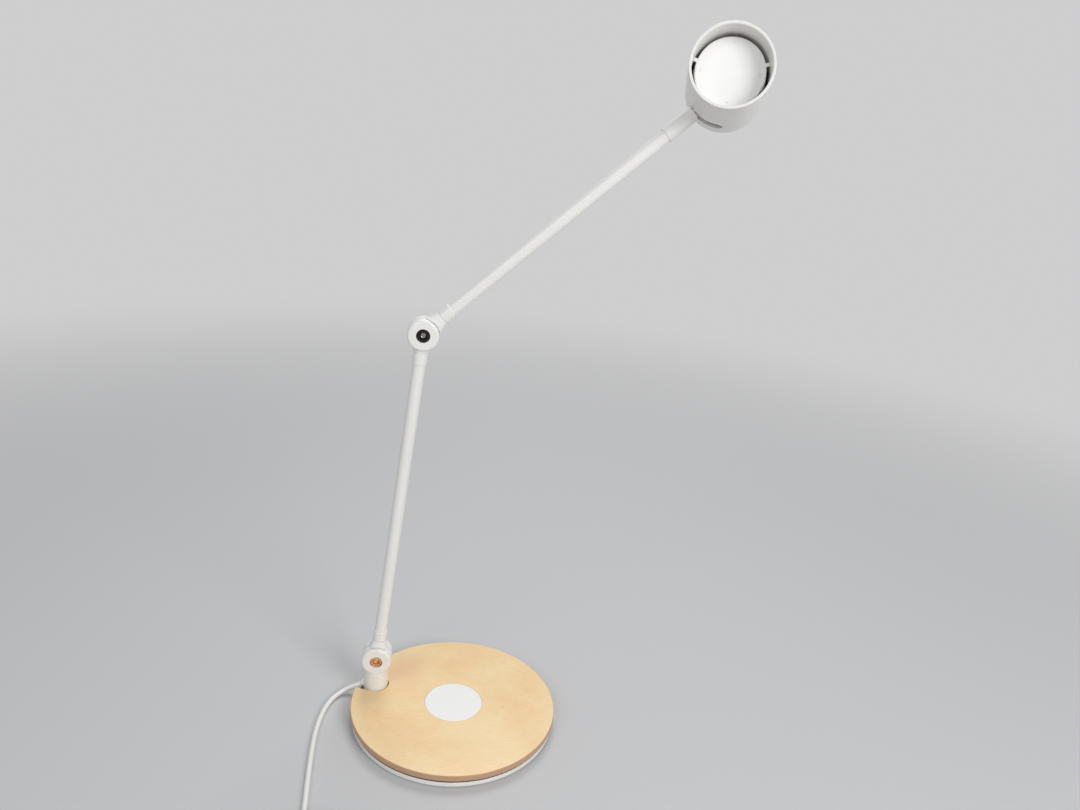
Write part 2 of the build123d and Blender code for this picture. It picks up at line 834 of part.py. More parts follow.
shaft_start = can_back - can_back_wall
with BuildPart() as dimmer_shaft:
    with BuildSketch(head_plane.offset(-shaft_start)):
        Circle(dimmer_shaft_radius)
    extrude(amount=shaft_start - sink_back - edge_round)
dimmer_shaft.part.label = "dimmer_shaft"

# Can: a deep cup with a slot for the neck, as long as its twist
neck_slot_half_width = neck_radius + neck_slot_clearance
slot_section = Plane(
    origin=head_centre, x_dir=-upper_direction, z_dir=(-upper_direction).cross(can_direction)
)
with BuildPart() as shade_can:
    with BuildSketch(head_plane.offset(-can_back)):
        Circle(can_radius)
    extrude(amount=can_back + can_front)
    fillet(shade_can.edges().sort_by(Axis(head_centre, can_direction))[0], radius=can_back_round)
    with BuildSketch(head_plane.offset(can_back_wall - can_back)):
        Circle(can_inner_radius)
    extrude(amount=can_back + can_front - can_back_wall, mode=Mode.SUBTRACT)
    mouth_edges = shade_can.edges().group_by(Axis(head_centre, can_direction))[-1]
    fillet(mouth_edges, radius=can_mouth_round)
    with BuildSketch(head_plane.offset(can_back_wall - can_back)):
        Circle(shaft_boss_radius)
        Circle(dimmer_shaft_radius + screw_clearance, mode=Mode.SUBTRACT)
    extrude(amount=shaft_boss_height)
    with BuildSketch(slot_section):
        with Locations((can_radius - can_wall / 2, 0)):
            Rectangle(2 * can_wall, 2 * neck_slot_half_width)
    revolve(
        axis=Axis(head_centre, can_direction), revolution_arc=slot_travel, mode=Mode.SUBTRACT
    )
    for travel in (0, slot_travel):
        outward = (-upper_direction).rotate(Axis((0, 0, 0), can_direction), travel)
        with BuildSketch(Plane(origin=head_centre + outward * shaft_boss_radius, z_dir=outward)):
            Circle(neck_slot_half_width)
        extrude(amount=can_radius, mode=Mode.SUBTRACT)
shade_can.part.label = "shade_can"

# Lead: from the grommet down through the rim's slot, then loosely along the table
cord_exit = grommet_plane.origin + lead_direction * grommet_end
coil_outer_radius = coil_inner_radius + coil_turns_across * coil_pitch
coil_bottom = cord_radius + coil_lift
route_shift = post_outward * (post_reach - route_post_reach)
coil_middle = Vector(*coil_place) + route_shift
coil_left = coil_middle.X - coil_outer_radius
lead_end = Vector(coil_left, coil_middle.Y + 2 * cord_radius, coil_bottom)
lead_route = [cord_exit, cord_exit + lead_direction * lead_straight]
lead_route += [Vector(*place) + route_shift for place in lead_places]
lead_route += [lead_end + Vector(0, coil_run_in, 0), lead_end]


def bend_radii(route):
    """Largest arcs that the straight runs of a route have room for."""
    radii = []
    for before, corner, after in zip(route, route[1:], route[2:]):
        turn = math.radians((corner - before).get_angle(after - corner))
        run = min((corner - before).length, (after - corner).length)
        radii.append(0.45 * run / math.tan(turn / 2))
    return radii


lead_radii = bend_radii(lead_route)
with BuildPart() as cord_lead:
    with BuildLine() as lead_line:
        FilletPolyline(*lead_route, radius=lead_radii)
    with BuildSketch(Plane(origin=cord_exit, z_dir=lead_route[1] - cord_exit)):
        Circle(cord_radius)
    sweep()
cord_lead.part.label = "cord_lead"

# Coil: the rest of the lead as one tube
coil_turns = coil_layers * coil_turns_across + coil_extra_turn


def coil_point(turn):
    """Place of the coil's middle line after a number of turns."""
    layer = min(int(turn / coil_turns_across), coil_layers - 1)
    along = turn - layer * coil_turns_across
    across = along if layer % 2 else coil_turns_across - along
    boundary = round(turn / coil_turns_across)
    climb = min(max(2 * (turn - boundary * coil_turns_across) + 0.5, 0), 1)
    level = boundary - 1 + (1 - math.cos(math.pi * climb)) / 2
    level = min(max(level, 0), coil_layers - 1)
    radius = coil_inner_radius + across * coil_pitch
    angle = math.pi + 2 * math.pi * turn
    return Vector(
        coil_middle.X + radius * math.cos(angle),
        coil_middle.Y + radius * math.sin(angle),
        coil_bottom + level * coil_pitch,
    )


def coil_heading(turn):
    """Direction of the coil's middle line, level and square to the radius at its ends."""
    if turn in (0, coil_turns):
        angle = math.pi + 2 * math.pi * turn
        return Vector(-math.sin(angle), math.cos(angle), 0)
    step = 0.01
    return (coil_point(turn + step) - coil_point(turn - step)).normalized()


def biarc(start, heading, end, end_heading):
    """Two arcs that leave the start and reach the end along the given directions."""
    gap = end - start
    total = heading + end_heading
    spread = 2 * (1 - heading.dot(end_heading))
    reach = (math.sqrt(gap.dot(total) ** 2 + spread * gap.dot(gap)) - gap.dot(total)) / spread
    middle = (start + end + (heading - end_heading) * reach) * 0.5
    middle_heading = ((end - end_heading * reach) - (start + heading * reach)).normalized()
    return [
        Edge.make_tangent_arc(start, heading, middle),
        Edge.make_tangent_arc(middle, middle_heading, end),
    ]


coil_steps = [step / 4 for step in range(int(4 * coil_turns) + 1)]
coil_edges = [Edge.make_line(lead_end, coil_point(0))]
for first, second in zip(coil_steps, coil_steps[1:]):
    coil_edges += biarc(
        coil_point(first), coil_heading(first), coil_point(second), coil_heading(second)
    )
coil_end = coil_point(coil_turns) + coil_heading(coil_turns) * 2 * cord_radius
coil_edges.append(Edge.make_line(coil_point(coil_turns), coil_end))

with BuildPart() as cord_coil:
    with BuildLine() as coil_line:
        add(coil_edges)
    with BuildSketch(Plane(origin=lead_end, z_dir=(0, -1, 0))):
        Circle(cord_radius)
    sweep()
cord_coil.part.label = "cord_coil"

# Ties: closed straps round the coil's turns
tie_inner_reach = (
    math.sqrt((coil_inner_radius - cord_radius) ** 2 - (tie_width / 2) ** 2) - tie_clearance
)
tie_outer_reach = coil_outer_radius + coil_extra_turn * coil_pitch + cord_radius + tie_clearance
tie_top = coil_bottom + (coil_layers - 1) * coil_pitch + cord_radius + tie_clearance
tie_bottom = coil_bottom - cord_radius - tie_clearance
with BuildPart() as cord_ties:
    for azimuth in tie_azimuths:
        outward = Vector(1, 0, 0).rotate(Axis.Z, azimuth)
        section = Plane(
            origin=(coil_middle.X, coil_middle.Y, (tie_top + tie_bottom) / 2),
            x_dir=outward,
            z_dir=outward.cross(Vector(0, 0, 1)),
        )
        with BuildSketch(section):
            with Locations(((tie_inner_reach + tie_outer_reach) / 2, 0)):
                RectangleRounded(
                    tie_outer_reach - tie_inner_reach + 2 * tie_thickness,
                    tie_top - tie_bottom + 2 * tie_thickness,
                    cord_radius + tie_thickness,
                )
                RectangleRounded(
                    tie_outer_reach - tie_inner_reach,
                    tie_top - tie_bottom,
                    cord_radius,
                    mode=Mode.SUBTRACT,
                )
        extrude(amount=tie_width / 2, both=True)
cord_ties.part.label = "cord_ties"

# Plug-in supply, lying beside the coil where the lead ends
adapter_start = coil_end.X + relief_length
adapter_face = Plane(
    origin=(adapter_start, coil_end.Y, adapter_height / 2), x_dir=(0, 1, 0), z_dir=(1, 0, 0)
)
with BuildPart() as adapter_body:
    with BuildSketch(adapter_face):
        RectangleRounded(adapter_width, adapter_height, adapter_round)
    extrude(amount=adapter_length)
    ends = adapter_body.faces().filter_by(Axis.X)
    fillet(ends.edges(), radius=adapter_round / 2)
    with BuildSketch(Plane(origin=coil_end, z_dir=(1, 0, 0))):
        Circle(cord_radius + edge_round)
    with BuildSketch(Plane(origin=coil_end + Vector(relief_length, 0, 0), z_dir=(1, 0, 0))):
        Circle(relief_radius)
    loft()
adapter_body.part.label = "adapter_body"

with BuildPart() as adapter_pins:
    with BuildSketch(adapter_face.offset(adapter_length)):
        with GridLocations(pin_spacing, 0, 2, 1):
            Rectangle(pin_thickness, pin_height)
    extrude(amount=pin_length)
    chamfer(adapter_pins.faces().sort_by(Axis.X)[-2:].edges(), length=pin_thickness / 4)
adapter_pins.part.label = "adapter_pins"

pieces = [
    foot_pad,
    base_plate,
    ballast_disc,
    wood_top,
    base_screws,
    post_screws,
    pad_cover,
    charging_coil,
    ferrite_plate,
    charger_board,
    post,
    cord_grommet,
    swivel_ring,
    swivel_nut,
    yoke,
    shoulder_sleeve,
    shoulder_nut,
    shoulder_washer,
    lower_arm_foot,
    lower_collars,
    lower_tube,
    lower_arm_head,
    elbow_sleeve,
    elbow_nut,
    elbow_washer,
    upper_arm_foot,
    upper_collar,
    upper_tube,
    head_sleeve,
    neck_pin,
    neck_clip,
    heat_sink,
    glide_ring,
    led_board,
    led_chips,
    diffuser_holder,
    diffuser,
    dimmer,
    dimmer_shaft,
    shade_can,
    cord_lead,
    cord_coil,
    cord_ties,
    adapter_body,
    adapter_pins,
]
for piece in pieces:
    export_step(piece.part, f"parts/{piece.part.label}.step")

# What the lead measures
cord_area = math.pi * cord_radius**2
coil_length = sum(edge.length for edge in coil_edges)
lead_length = sum(edge.length for edge in lead_line.edges())
coil_samples = []
for edge in coil_edges:
    coil_samples += [edge @ (step / 12) for step in range(12)]
near = int(len(coil_samples) / coil_turns / 2)
least_gap = min(
    (coil_samples[one] - coil_samples[two]).length
    for one in range(len(coil_samples))
    for two in range(one + near, len(coil_samples))
) - 2 * cord_radius
print("lead bend radii", [round(radius, 1) for radius in lead_radii])
lead_ratio = cord_lead.part.volume / cord_area / lead_length
coil_ratio = cord_coil.part.volume / cord_area / coil_length
print("lead length", round(lead_length, 1), "volume ratio", lead_ratio)
print("coil length", round(coil_length, 1), "volume ratio", coil_ratio)
print("cord length", round(lead_length + coil_length, 1))
print("least gap of the coil to itself", round(least_gap, 2))
print("shoulder", shoulder, "elbow", elbow, "head", head_centre)
print("can axis", can_direction, "arm axis", upper_direction, "cord exit", cord_exit)
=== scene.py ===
import bpy
import bmesh
import math
from mathutils import Matrix, Vector


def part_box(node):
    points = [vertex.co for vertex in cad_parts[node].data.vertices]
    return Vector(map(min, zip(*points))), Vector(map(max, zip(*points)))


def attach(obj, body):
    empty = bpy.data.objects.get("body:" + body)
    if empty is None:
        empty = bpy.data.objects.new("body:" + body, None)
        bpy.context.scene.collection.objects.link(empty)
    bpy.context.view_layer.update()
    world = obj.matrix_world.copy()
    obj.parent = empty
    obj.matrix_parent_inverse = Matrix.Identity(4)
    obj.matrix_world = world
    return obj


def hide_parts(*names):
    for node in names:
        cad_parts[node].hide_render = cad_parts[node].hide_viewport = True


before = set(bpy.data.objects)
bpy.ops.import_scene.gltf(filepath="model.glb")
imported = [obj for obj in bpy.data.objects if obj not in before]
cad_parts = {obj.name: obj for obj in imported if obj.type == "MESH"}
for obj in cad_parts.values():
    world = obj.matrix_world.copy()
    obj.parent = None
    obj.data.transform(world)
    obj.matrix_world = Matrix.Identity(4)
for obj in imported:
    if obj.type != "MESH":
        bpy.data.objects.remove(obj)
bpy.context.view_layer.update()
print("frame loaded with", len(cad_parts), "nodes")

cameraView = {  # where the photograph was taken from
    "place": (-0.024532, -0.598504, 0.488010),
    "yaw": 7.0,  # degrees, from +Y towards +X
    "pitch": 18.99,  # degrees, downwards
    "roll": -5.50,
    "lens": 28.46,  # mm on a 36 mm sensor
}


def placeCamera(view):
    yaw, pitch, roll = (math.radians(view[key]) for key in ("yaw", "pitch", "roll"))
    ahead = Vector(
        (math.sin(yaw) * math.cos(pitch), math.cos(yaw) * math.cos(pitch), -math.sin(pitch))
    )
    level = Vector((math.cos(yaw), -math.sin(yaw), 0))
    below = ahead.cross(level)
    right = math.cos(roll) * level + math.sin(roll) * below
    down = -math.sin(roll) * level + math.cos(roll) * below
    data = bpy.data.cameras.new("viewer")
    data.lens = view["lens"]
    data.sensor_width = 36.0
    camera = bpy.data.objects.new("viewer", data)
    bpy.context.scene.collection.objects.link(camera)
    turn = Matrix((right, -down, -ahead)).transposed().to_4x4()
    camera.matrix_world = Matrix.Translation(view["place"]) @ turn
    bpy.context.scene.camera = camera


placeCamera(cameraView)
bpy.context.scene.view_settings.view_transform = "Standard"
print("camera placed")


class Wire:  # a socket that takes part in sums; make() adds any other node
    def __init__(self, tree, socket=None):
        self.tree = tree
        self.socket = socket

    def make(self, kind, settings, inputs, out=0):
        prefix = "" if kind.startswith("Geometry") else "ShaderNode"
        node = self.tree.nodes.new(prefix + kind)
        for key, value in settings.items():
            setattr(node, key, value)
        for key, value in inputs.items():
            if isinstance(value, Wire):
                self.tree.links.new(value.socket, node.inputs[key])
            else:
                node.inputs[key].default_value = value
        return Wire(self.tree, node.outputs[out])

    def sum(self, operation, other, swapped=False):
        pair = (other, self) if swapped else (self, other)
        return self.make("Math", {"operation": operation}, {0: pair[0], 1: pair[1]})

    def __add__(self, other):
        return self.sum("ADD", other)

    def __radd__(self, other):
        return self.sum("ADD", other, True)

    def __sub__(self, other):
        return self.sum("SUBTRACT", other)

    def __rsub__(self, other):
        return self.sum("SUBTRACT", other, True)

    def __mul__(self, other):
        return self.sum("MULTIPLY", other)

    def __rmul__(self, other):
        return self.sum("MULTIPLY", other, True)


def clampStep(value, low, high):  # 0 below low, 1 above high, smooth between
    return value.make(
        "MapRange",
        {"interpolation_type": "SMOOTHSTEP"},
        {"Value": value, "From Min": low, "From Max": high},
    )


def reachAndHeight(spot):  # distance from the upright axis, and Z
    axes = {label: spot.make("SeparateXYZ", {}, {0: spot}, label) for label in "XYZ"}
    square = axes["X"] * axes["X"] + axes["Y"] * axes["Y"]
    return spot.make("Math", {"operation": "SQRT"}, {0: square}), axes["Z"]


def distanceTo(spot, place):
    return spot.make("VectorMath", {"operation": "DISTANCE"}, {0: spot, 1: place}, "Value")


def shaded(colour, share):
    return tuple(part * share for part in colour[:3]) + (1.0,)


def mixColour(factor, first, second):
    return factor.make("Mix", {"data_type": "RGBA"}, {0: factor, 6: first, 7: second}, 2)


def rgb(red, green, blue):
    return (red, green, blue, 1.0)


class Finish:  # a material with its start points at hand
    def __init__(self, name, **constants):
        self.material = bpy.data.materials.new(name)
        self.material.use_nodes = True
        self.tree = self.material.node_tree
        self.shader = self.tree.nodes["Principled BSDF"]
        self.root = Wire(self.tree)
        for label, value in constants.items():
            self.shader.inputs[label.replace("_", " ")].default_value = value

    def place(self, turn=(0, 0, 0), stretch=(1, 1, 1)):  # object coordinates
        spot = self.root.make("TexCoord", {}, {}, "Object")
        return spot.make("Mapping", {}, {"Vector": spot, "Rotation": turn, "Scale": stretch})

    def noise(self, spot, scale, detail, roughness=0.5, distortion=0.0):
        return spot.make(
            "TexNoise",
            {},
            {
                "Vector": spot,
                "Scale": scale,
                "Detail": detail,
                "Roughness": roughness,
                "Distortion": distortion,
            },
        )

    def feed(self, label, wire):
        self.tree.links.new(wire.socket, self.shader.inputs[label])

    def bump(self, height, distance, strength):
        self.feed(
            "Normal",
            height.make(
                "Bump", {}, {"Strength": strength, "Distance": distance, "Height": height}
            ),
        )


# Supply lead: places are its spline's control points between the exit and the coil
leadPlan = {
    "exit": (-0.0778736, 0.0240045, 0.0109895),
    "diameter": 0.004,
    "length": 1.9,
    "places": [
        (-0.08495, 0.02487, 0.00736),
        (-0.0924, 0.0237, 0.0041),
        (-0.0988, 0.0189, 0.0022),
        (-0.1041, 0.0102, 0.0020),
        (-0.1080, -0.0053, 0.0020),
        (-0.1099, -0.0270, 0.0020),
        (-0.1091, -0.0520, 0.0020),
        (-0.1074, -0.0800, 0.0020),
        (-0.1052, -0.1060, 0.0020),
        (-0.1040, -0.1310, 0.0032),
        (-0.1040, -0.1560, 0.0032),
    ],
    "coilMiddle": (-0.0755, -0.1600),
    "coilBottom": 0.0032,
    "innerRadius": 0.0150,
    "pitch": 0.0045,
    "turnsAcross": 3,
    "layers": 4,
    "extraTurn": 0.25,
    "pointsPerTurn": 16,
    "endRuns": (0.0040, 0.0072),  # from the last turn into the supply's relief
    "stepsPerPoint": 5,
    "girthSteps": 3,
}


def coilPlace(plan, turn):  # the coil spirals in and out, one layer on another
    layer = min(int(turn / plan["turnsAcross"]), plan["layers"] - 1)
    along = turn - layer * plan["turnsAcross"]
    across = along if layer % 2 else plan["turnsAcross"] - along
    edge = round(turn / plan["turnsAcross"])
    climb = min(max(2 * (turn - edge * plan["turnsAcross"]) + 0.5, 0), 1)
    level = min(max(edge - 1 + (1 - math.cos(math.pi * climb)) / 2, 0), plan["layers"] - 1)
    radius = plan["innerRadius"] + across * plan["pitch"]
    radius /= math.cos(math.pi / plan["pointsPerTurn"])  # a spline runs inside its points
    angle = math.pi + 2 * math.pi * turn
    return (
        plan["coilMiddle"][0] + radius * math.cos(angle),
        plan["coilMiddle"][1] + radius * math.sin(angle),
        plan["coilBottom"] + level * plan["pitch"],
    )


def makeLead(plan):
    turns = plan["layers"] * plan["turnsAcross"] + plan["extraTurn"]
    count = round(turns * plan["pointsPerTurn"])
    points = [plan["exit"]] + plan["places"]
    points += [coilPlace(plan, step / plan["pointsPerTurn"]) for step in range(count + 1)]
    last = points[-1]
    points += [(last[0] + run, last[1], last[2]) for run in plan["endRuns"]]
    data = bpy.data.curves.new("supplyLead", "CURVE")
    data.dimensions = "3D"
    spline = data.splines.new("NURBS")
    spline.points.add(len(points) - 1)
    for point, place in zip(spline.points, points):
        point.co = (*place, 1.0)
    spline.order_u = 3
    spline.use_endpoint_u = True
    data.resolution_u = plan["stepsPerPoint"]
    data.bevel_depth = plan["diameter"] / 2
    data.bevel_resolution = plan["girthSteps"]
    data.use_fill_caps = True
    lead = bpy.data.objects.new("supplyLead", data)
    bpy.context.scene.collection.objects.link(lead)
    return lead


supplyLead = makeLead(leadPlan)
print("lead routed")


def paintedMetal(name, colour, roughness, grain):
    finish = Finish(name, Coat_Weight=grain["gloss"], Coat_Roughness=grain["glossRoughness"])
    spot = finish.place()
    skin = finish.noise(spot, grain["skinScale"], 2.0)  # the coat's orange peel
    cloud = finish.noise(spot, grain["cloudScale"], 3.0)
    shade = shaded(colour, grain["cloudShade"])
    finish.feed("Base Color", mixColour(cloud * grain["cloudAmount"], colour, shade))
    finish.feed("Roughness", roughness + (cloud - 0.5) * grain["roughnessSwing"])
    finish.bump(skin, grain["skinDepth"], grain["skinStrength"])
    return finish.material


coatGrain = {
    "skinScale": 620.0,
    "skinDepth": 0.00001,
    "skinStrength": 0.55,
    "cloudScale": 30.0,
    "cloudShade": 0.94,
    "cloudAmount": 0.6,
    "roughnessSwing": 0.12,
    "gloss": 0.25,
    "glossRoughness": 0.25,
}
whiteCoat = paintedMetal("whiteSatinCoat", rgb(0.86, 0.85, 0.825), 0.36, coatGrain)

plateLook = {
    "coat": rgb(0.84, 0.835, 0.82),
    # colour of the painted shade in the gap under the wood
    "seat": rgb(0.070, 0.062, 0.058),
    "seatHeight": 0.0048,
    "seatRadius": 0.08385,
    "roughness": 0.38,
}


def plateWithGapShade(look):  # painted shade: the plate's top is painted dark under the wood, nearly out to its rim, as the shadow in the gap
    finish = Finish("whitePlateWithGapShade", Coat_Weight=0.2)
    spot = finish.root.make("TexCoord", {}, {}, "Object")
    reach, height = reachAndHeight(spot)
    onTop = clampStep(height, look["seatHeight"], look["seatHeight"] + 0.0001)
    # mask of the painted shade on the plate's top under the wood
    seat = onTop * (1 - clampStep(reach, look["seatRadius"] - 0.0002, look["seatRadius"]))
    skin = finish.noise(finish.place(), coatGrain["skinScale"], 2.0)
    finish.feed("Base Color", mixColour(seat, look["coat"], look["seat"]))
    finish.feed("Roughness", look["roughness"] + skin * 0.10 + seat * 0.3)
    finish.bump(skin, coatGrain["skinDepth"], coatGrain["skinStrength"])
    return finish.material


whitePlateGapShaded = plateWithGapShade(plateLook)

woodLook = {
    "pale": rgb(0.905, 0.690, 0.385),
    "warm": rgb(0.850, 0.575, 0.280),
    "fleck": rgb(0.690, 0.420, 0.200),
    # the rim's colours are end grain, darkened further as painted shade of the side wall
    "edge": rgb(0.560, 0.340, 0.200),
    "edgeDark": rgb(0.380, 0.215, 0.125),
    "grainTurn": 1.25,  # radians, away from +X
    "grainStretch": (1.0, 9.0, 9.0),
    "figureScale": 17.0,
    "fibreScale": 150.0,
    "fleckScale": 420.0,
    "fleckAmount": 0.35,
    "roughness": 0.30,
    "grainDepth": 0.00005,
    "rim": 0.0843,
    "plyPitch": 0.0013,
    "postReflectionAndShadePlace": (-0.046, 0.040, 0.0),  # painted reflection and shadow of the post, a redder patch beside it
    # colour of the painted reflection and shadow of the post
    "postReflectionAndShade": rgb(0.760, 0.430, 0.240),
    "speckPlace": (0.0415, -0.0055, 0.0120),  # one small knot
    "speck": rgb(0.120, 0.070, 0.045),
}


def lacqueredWood(look):
    finish = Finish("paleBirch", Coat_Weight=0.45, Coat_Roughness=0.10)
    flat = finish.place((0, 0, look["grainTurn"]))
    long = finish.place((0, 0, look["grainTurn"]), look["grainStretch"])
    figure = finish.noise(flat, look["figureScale"], 4.0, 0.55, 0.6)  # broad curl of the veneer
    fibre = finish.noise(long, look["fibreScale"], 5.0, 0.65)  # long fibres
    fleck = finish.noise(long, look["fleckScale"], 2.0, 0.5)  # short darker flecks
    tone = clampStep(figure * 0.55 + fibre * 0.45, 0.38, 0.64)
    colour = mixColour(tone, look["pale"], look["warm"])
    colour = mixColour(
        clampStep(fleck, 0.66, 0.80) * look["fleckAmount"], colour, look["fleck"]
    )
    spot = finish.root.make("TexCoord", {}, {}, "Object")
    # painted reflection and shadow of the post on the wood beside it
    away = distanceTo(spot, look["postReflectionAndShadePlace"])
    postReflectionAndShade = (1 - clampStep(away, 0.006, 0.036)) * (0.15 + figure * 0.9)
    colour = mixColour(postReflectionAndShade, colour, look["postReflectionAndShade"])
    near = distanceTo(spot, look["speckPlace"])
    colour = mixColour(1 - clampStep(near, 0.0002, 0.0005), colour, look["speck"])
    reach, height = reachAndHeight(spot)
    # the rim is painted darker: partly end grain, partly painted shade of the side wall
    onShadedRim = clampStep(reach, look["rim"], look["rim"] + 0.0005)
    turn = height * (2 * math.pi / look["plyPitch"])
    ply = spot.make("Math", {"operation": "SINE"}, {0: turn})
    edge = mixColour(clampStep(ply, 0.2, 0.9) * 0.45, look["edge"], look["edgeDark"])
    finish.feed("Base Color", mixColour(onShadedRim, colour, edge))
    finish.feed("Roughness", look["roughness"] + fibre * 0.12 + onShadedRim * 0.18)
    finish.bump(fibre, look["grainDepth"], 0.35)
    return finish.material


birch = lacqueredWood(woodLook)

mouldSkin = {
    "skinScale": 2200.0,
    "skinStrength": 0.5,
    "cloudScale": 60.0,
    "cloudShade": 0.95,
    "cloudAmount": 0.5,
    "roughnessSwing": 0.10,
    "glow": rgb(1.0, 0.99, 0.96),
}


def mouldedPlastic(name, colour, roughness, skinDepth=0.00003, glow=0.0):
    finish = Finish(name)
    spot = finish.place()
    skin = finish.noise(spot, mouldSkin["skinScale"], 2.0)
    cloud = finish.noise(spot, mouldSkin["cloudScale"], 2.0)
    dull = shaded(colour, mouldSkin["cloudShade"])
    finish.feed("Base Color", mixColour(cloud * mouldSkin["cloudAmount"], colour, dull))
    finish.feed("Roughness", roughness + (cloud - 0.5) * mouldSkin["roughnessSwing"])
    finish.bump(skin, skinDepth, mouldSkin["skinStrength"])
    if glow:
        finish.shader.inputs["Emission Color"].default_value = mouldSkin["glow"]
        finish.shader.inputs["Emission Strength"].default_value = glow
        finish.material.cycles.emission_sampling = "NONE"  # too faint to count as a lamp
    return finish.material


whitePlastic = mouldedPlastic("whitePlastic", rgb(0.88, 0.875, 0.86), 0.30)
opalDiffuser = mouldedPlastic("opalDiffuser", rgb(0.90, 0.895, 0.88), 0.50, 0.00002, 0.02)
darkPlastic = mouldedPlastic("darkPlastic", rgb(0.030, 0.030, 0.032), 0.48)
footSheet = mouldedPlastic("footSheet", rgb(0.030, 0.030, 0.030), 0.75, 0.00008)
leadSheath = mouldedPlastic("leadSheath", rgb(0.84, 0.83, 0.80), 0.38)
ferriteBlack = mouldedPlastic("ferriteBlack", rgb(0.020, 0.020, 0.024), 0.62, 0.00006)

turnedSkin = {
    "lineStretch": (1.0, 14.0, 1.0),
    "lineStrength": 0.4,
    "lineRoughness": 0.18,
    "stainScale": 240.0,
    "stainShade": 0.62,
    "stainAmount": 0.6,
}


def turnedMetal(name, colour, roughness, lineScale, lineDepth):
    finish = Finish(name, Metallic=1.0)
    spot = finish.place()
    lines = finish.noise(finish.place((0, 0, 0), turnedSkin["lineStretch"]), lineScale, 2.0)
    stain = clampStep(finish.noise(spot, turnedSkin["stainScale"], 3.0), 0.45, 0.75)
    dark = shaded(colour, turnedSkin["stainShade"])
    finish.feed("Base Color", mixColour(stain * turnedSkin["stainAmount"], colour, dark))
    finish.feed("Roughness", roughness + lines * turnedSkin["lineRoughness"])
    finish.bump(lines, lineDepth, turnedSkin["lineStrength"])
    return finish.material


brightSteel = turnedMetal("turnedSteel", rgb(0.58, 0.56, 0.53), 0.20, 700.0, 0.00003)
bronzeSteel = turnedMetal("bronzedSteel", rgb(0.80, 0.52, 0.30), 0.36, 700.0, 0.00003)
agedSteel = turnedMetal("agedSteel", rgb(0.34, 0.32, 0.30), 0.18, 900.0, 0.00006)
blackSteel = turnedMetal("blackSteel", rgb(0.040, 0.038, 0.036), 0.30, 700.0, 0.00003)
# blackened steel, its darkness also painted shade of the gap under the wood
gapShadeSteel = turnedMetal("blackenedSteelGapShade", rgb(0.055, 0.055, 0.060), 0.42, 300.0, 0.00005)
castSink = turnedMetal("castSink", rgb(0.42, 0.41, 0.40), 0.36, 420.0, 0.00005)
platedPins = turnedMetal("platedPins", rgb(0.72, 0.62, 0.36), 0.20, 500.0, 0.00002)
enamelCopper = turnedMetal("enamelCopper", rgb(0.70, 0.30, 0.13), 0.24, 900.0, 0.00002)

boardLook = {"trackScale": 260.0, "trackHeight": 0.00004, "viaScale": 330.0, "gloss": 0.3}


def circuitBoard(name, mask, track, pad):
    finish = Finish(name, Roughness=0.35, Coat_Weight=boardLook["gloss"])
    spot = finish.place()
    cells = spot.make(
        "TexVoronoi",
        {"feature": "DISTANCE_TO_EDGE"},
        {"Vector": spot, "Scale": boardLook["trackScale"]},
    )
    dots = spot.make(
        "TexVoronoi", {"feature": "F1"}, {"Vector": spot, "Scale": boardLook["viaScale"]}
    )
    tracks = 1 - clampStep(cells, 0.05, 0.09)
    vias = 1 - clampStep(dots, 0.16, 0.20)
    colour = mixColour(tracks * 0.6, mask, track)
    finish.feed("Base Color", mixColour(vias, colour, pad))
    finish.bump(tracks, boardLook["trackHeight"], 0.4)
    return finish.material


greenBoard = circuitBoard(
    "greenBoard", rgb(0.012, 0.110, 0.045), rgb(0.030, 0.190, 0.080), rgb(0.62, 0.55, 0.34)
)
whiteBoard = circuitBoard(
    "whiteBoard", rgb(0.82, 0.82, 0.80), rgb(0.72, 0.72, 0.70), rgb(0.66, 0.62, 0.50)
)


chipLook = {
    "deep": rgb(0.90, 0.68, 0.12),
    "pale": rgb(0.98, 0.84, 0.30),
    "gritScale": 2600.0,
    "gritDepth": 0.00004,
}


def phosphorChips(look):
    finish = Finish("phosphorChips")
    grit = finish.noise(finish.place(), look["gritScale"], 3.0)
    finish.feed("Base Color", mixColour(grit, look["deep"], look["pale"]))
    finish.feed("Roughness", 0.32 + grit * 0.2)
    finish.bump(grit, look["gritDepth"], 0.5)
    return finish.material


phosphor = phosphorChips(chipLook)

strapLook = {
    "dark": rgb(0.010, 0.010, 0.011),
    "worn": rgb(0.055, 0.055, 0.060),
    "weaveTurn": 35.0,  # degrees
    "weaveScale": 900.0,
    "fuzzScale": 1800.0,
    "depth": 0.0002,
}


def strapFabric(look):
    finish = Finish("strapFabric", Sheen_Weight=0.3)
    spot = finish.place((0, 0, math.radians(look["weaveTurn"])))
    weave = spot.make(
        "TexWave",
        {"bands_direction": "DIAGONAL"},
        {"Vector": spot, "Scale": look["weaveScale"], "Distortion": 1.5},
        "Fac",
    )
    fuzz = finish.noise(spot, look["fuzzScale"], 3.0)
    finish.feed("Base Color", mixColour(weave * fuzz, look["dark"], look["worn"]))
    finish.feed("Roughness", 0.80 + fuzz * 0.15)
    finish.bump(weave * 0.6 + fuzz * 0.4, look["depth"], 0.7)
    return finish.material


strap = strapFabric(strapLook)

